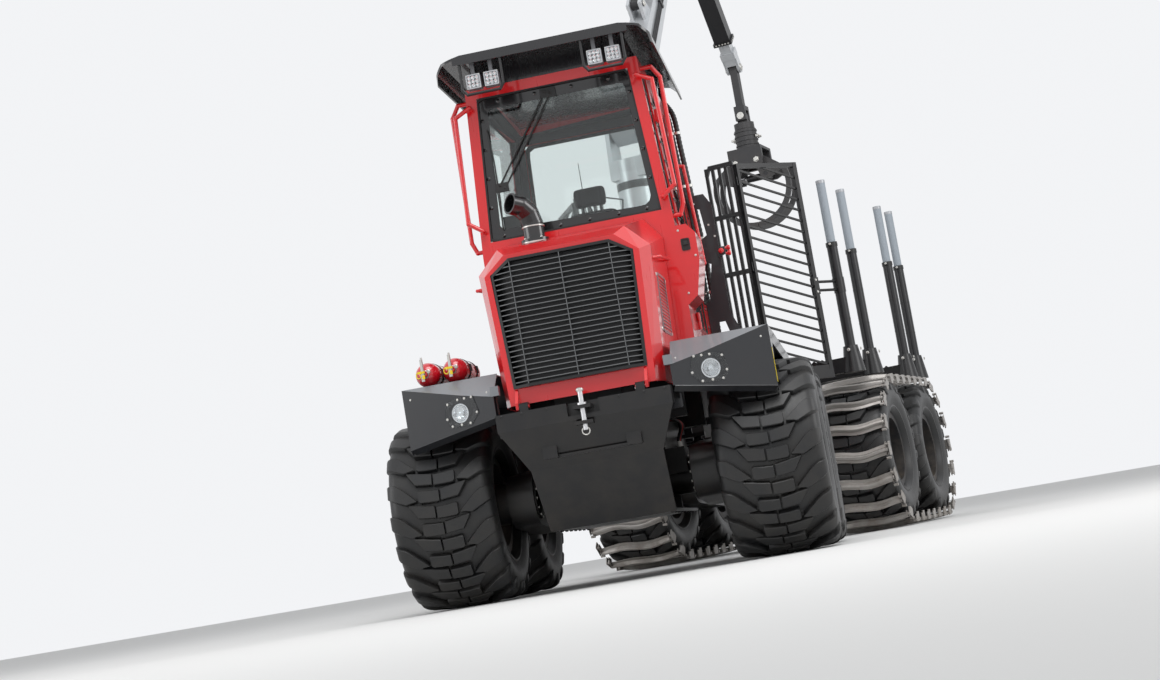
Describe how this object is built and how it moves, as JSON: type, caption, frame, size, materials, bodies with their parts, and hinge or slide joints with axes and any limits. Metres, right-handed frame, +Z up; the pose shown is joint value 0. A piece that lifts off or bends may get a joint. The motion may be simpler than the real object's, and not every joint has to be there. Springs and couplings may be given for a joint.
{
  "type": "forestry forwarder",
  "caption": "Articulated bogie forwarder with cab over the front frame, staked load space, band tracks and a slewing timber crane.",
  "frame": {"origin": "centre of the overall outline at rest, on the ground", "axes": "+X to the machine's left, +Y to its back, +Z up; the front frame is square to the axes and the rear frame is swung 13 degrees"},
  "size_m": [4.1501, 9.3476, 7.2593],
  "materials": {
    "black_paint": "gloss",
    "charcoal_paint": "satin",
    "red_paint": "gloss",
    "grille_black": "satin",
    "tyre_rubber": "matte",
    "rim_black": "satin",
    "steel_worn": "worn",
    "steel_bright": "polished",
    "boom_silver": "gloss",
    "tip_grey": "satin",
    "cast_dark": "matte",
    "lamp_housing": "satin",
    "lamp_clear": "clear",
    "cab_glass": "clear",
    "extinguisher_red": "gloss",
    "seat_fabric": "woven",
    "trim_grey": "matte"
  },
  "bodies": {
    "front_frame": {"front_chassis": "black_paint", "engine_block": "cast_dark", "front_bogies": "black_paint", "fenders": "charcoal_paint", "fender_lamps": "lamp_housing", "lamp_covers": "lamp_clear", "tow_pin": "steel_bright", "extinguishers": "extinguisher_red", "cab_steps": "charcoal_paint", "cab_shell": "red_paint", "cab_roof": "black_paint", "roof_lamps": "lamp_housing", "cab_glass": "cab_glass", "guard_tubes": "red_paint", "lamp_guards": "black_paint", "seat": "seat_fabric", "controls": "trim_grey"},
    "door": {"door_frame": "red_paint", "door_glass": "cab_glass"},
    "hood": {"hood_shell": "red_paint", "grille": "grille_black", "exhaust": "black_paint"},
    "rear_frame": {"rear_chassis": "black_paint", "rear_bogies": "black_paint", "rear_tyres": "tyre_rubber", "rear_rims": "rim_black", "track_left": "steel_worn", "track_right": "steel_worn", "bunks": "black_paint", "stakes": "black_paint", "stake_tips": "tip_grey", "gate": "black_paint", "slew_base": "black_paint"},
    "crane_pillar": {"pillar": "boom_silver"},
    "main_boom": {"main_boom": "boom_silver"},
    "outer_boom": {"outer_boom": "black_paint"},
    "extension": {"extension": "boom_silver"},
    "swing_link": {"swing_link": "cast_dark"},
    "sway_block": {"sway_block": "cast_dark"},
    "rotator": {"rotator": "cast_dark"},
    "jaw_a": {"jaw_a": "cast_dark"},
    "jaw_b": {"jaw_b": "cast_dark"},
    "lift_barrel": {"lift_barrel": "black_paint"},
    "lift_rod": {"lift_rod": "steel_bright"},
    "jib_barrel": {"jib_barrel": "black_paint"},
    "jib_rod": {"jib_rod": "steel_bright"},
    "steer_barrel_left": {"steer_barrel_left": "black_paint"},
    "steer_rod_left": {"steer_rod_left": "steel_bright"},
    "steer_barrel_right": {"steer_barrel_right": "black_paint"},
    "steer_rod_right": {"steer_rod_right": "steel_bright"},
    "grapple_barrel": {"grapple_barrel": "black_paint"},
    "grapple_rod": {"grapple_rod": "steel_bright"},
    "wheel_left_1": {"tyre_left_1": "tyre_rubber", "rim_left_1": "rim_black"},
    "wheel_left_2": {"tyre_left_2": "tyre_rubber", "rim_left_2": "rim_black"},
    "wheel_right_1": {"tyre_right_1": "tyre_rubber", "rim_right_1": "rim_black"},
    "wheel_right_2": {"tyre_right_2": "tyre_rubber", "rim_right_2": "rim_black"}
  },
  "joints": [
    {"name": "steer", "type": "hinge", "parent": "front_frame", "child": "rear_frame", "pos_m": [-0.55139, -0.94984, 0.98], "axis": [0, 0, 1], "range_deg": [-29, 55]},
    {"name": "wheel_left_1_spin", "type": "hinge", "parent": "front_frame", "child": "wheel_left_1", "pos_m": [0.59861, -3.64984, 0.68], "axis": [1, 0, 0], "continuous": true},
    {"name": "wheel_left_2_spin", "type": "hinge", "parent": "front_frame", "child": "wheel_left_2", "pos_m": [0.59861, -2.14984, 0.68], "axis": [1, 0, 0], "continuous": true},
    {"name": "wheel_right_1_spin", "type": "hinge", "parent": "front_frame", "child": "wheel_right_1", "pos_m": [-1.70139, -3.64984, 0.68], "axis": [1, 0, 0], "continuous": true},
    {"name": "wheel_right_2_spin", "type": "hinge", "parent": "front_frame", "child": "wheel_right_2", "pos_m": [-1.70139, -2.14984, 0.68], "axis": [1, 0, 0], "continuous": true},
    {"name": "door_hinge", "type": "hinge", "parent": "front_frame", "child": "door", "pos_m": [0.18461, -2.97384, 2.1], "axis": [0, 0, -1], "range_deg": [0, 80]},
    {"name": "hood_tilt", "type": "hinge", "parent": "front_frame", "child": "hood", "pos_m": [-0.55139, -4.56484, 1.27], "axis": [1, 0, 0], "range_deg": [0, 60]},
    {"name": "crane_slew", "type": "hinge", "parent": "rear_frame", "child": "crane_pillar", "pos_m": [-0.38268, -0.21906, 1.8], "axis": [0, 0, 1], "continuous": true},
    {"name": "boom_lift", "type": "hinge", "parent": "crane_pillar", "child": "main_boom", "pos_m": [-0.38268, -0.21906, 3.95], "axis": [0.9744, -0.225, 0], "range_deg": [-32, 28]},
    {"name": "jib_fold", "type": "hinge", "parent": "main_boom", "child": "outer_boom", "pos_m": [0.23099, 2.43901, 6.87542], "axis": [-0.9744, 0.225, 0], "range_deg": [-90, 38]},
    {"name": "jib_extend", "type": "slide", "parent": "outer_boom", "child": "extension", "axis": [0.1385, 0.5999, -0.788], "range_m": [0, 1]},
    {"name": "link_swing", "type": "hinge", "parent": "extension", "child": "swing_link", "pos_m": [0.51906, 3.68677, 5.23635], "axis": [0.9744, -0.225, 0], "range_deg": [-45, 45]},
    {"name": "link_sway", "type": "hinge", "parent": "swing_link", "child": "sway_block", "pos_m": [0.51906, 3.68677, 4.68635], "axis": [0.225, 0.9744, 0], "range_deg": [-25, 25]},
    {"name": "rotator_turn", "type": "hinge", "parent": "sway_block", "child": "rotator", "pos_m": [0.51906, 3.68677, 4.43635], "axis": [0, 0, 1], "continuous": true},
    {"name": "grapple_open", "type": "hinge", "parent": "rotator", "child": "jaw_a", "pos_m": [0.63598, 3.65977, 4.15135], "axis": [-0.225, -0.9744, 0], "range_deg": [0, 45]},
    {"name": "jaw_b_follow", "type": "hinge", "parent": "rotator", "child": "jaw_b", "pos_m": [0.40213, 3.71376, 4.15135], "axis": [-0.225, -0.9744, 0], "range_deg": [-45, 0]},
    {"name": "lift_barrel_swing", "type": "hinge", "parent": "crane_pillar", "child": "lift_barrel", "pos_m": [-0.33094, 0.00504, 2.45], "axis": [0.9744, -0.225, 0], "range_deg": [-10.03, 8.77]},
    {"name": "lift_rod_slide", "type": "slide", "parent": "lift_barrel", "child": "lift_rod", "axis": [0.064, 0.2773, 0.9587], "range_m": [-0.36515, 0.31963]},
    {"name": "jib_barrel_swing", "type": "hinge", "parent": "main_boom", "child": "jib_barrel", "pos_m": [-0.17692, 0.67218, 5.31211], "axis": [0.9744, -0.225, 0], "range_deg": [-0.31, 0.73]},
    {"name": "jib_rod_slide", "type": "slide", "parent": "jib_barrel", "child": "jib_rod", "axis": [0.151, 0.654, 0.7413], "range_m": [-0.45182, 0.19135]},
    {"name": "steer_barrel_left_swing", "type": "hinge", "parent": "front_frame", "child": "steer_barrel_left", "pos_m": [-0.07139, -1.89984, 0.945], "axis": [0, 0, 1], "range_deg": [-4.21, 7.99]},
    {"name": "steer_rod_left_slide", "type": "slide", "parent": "steer_barrel_left", "child": "steer_rod_left", "axis": [-0.0245, 0.9997, 0], "range_m": [-0.20599, 0.38977]},
    {"name": "steer_barrel_right_swing", "type": "hinge", "parent": "front_frame", "child": "steer_barrel_right", "pos_m": [-1.03139, -1.89984, 0.945], "axis": [0, 0, 1], "range_deg": [-4.16, 7.88]},
    {"name": "steer_rod_right_slide", "type": "slide", "parent": "steer_barrel_right", "child": "steer_rod_right", "axis": [0.093, 0.9957, 0], "range_m": [-0.38977, 0.20599]},
    {"name": "grapple_barrel_level", "type": "hinge", "parent": "jaw_a", "child": "grapple_barrel", "pos_m": [0.69444, 3.64628, 3.98635], "axis": [-0.225, -0.9744, 0], "range_deg": [-45, 0]},
    {"name": "grapple_rod_slide", "type": "slide", "parent": "grapple_barrel", "child": "grapple_rod", "axis": [-0.9744, 0.225, 0], "range_m": [0, 0.2]}
  ],
  "couplings": [
    {"joint": "jaw_b_follow", "follows": "grapple_open", "ratio": -1},
    {"joint": "lift_barrel_swing", "follows": "boom_lift", "ratio": 0.313},
    {"joint": "lift_rod_slide", "follows": "boom_lift", "m_per_rad": 0.652},
    {"joint": "jib_barrel_swing", "follows": "jib_fold", "ratio": -0.008},
    {"joint": "jib_rod_slide", "follows": "jib_fold", "m_per_rad": 0.287},
    {"joint": "steer_barrel_left_swing", "follows": "steer", "ratio": 0.145},
    {"joint": "steer_rod_left_slide", "follows": "steer", "m_per_rad": 0.405},
    {"joint": "steer_barrel_right_swing", "follows": "steer", "ratio": 0.143},
    {"joint": "steer_rod_right_slide", "follows": "steer", "m_per_rad": -0.405},
    {"joint": "grapple_barrel_level", "follows": "grapple_open", "ratio": -1},
    {"joint": "grapple_rod_slide", "follows": "grapple_open", "m_per_rad": 0.2521}
  ]
}
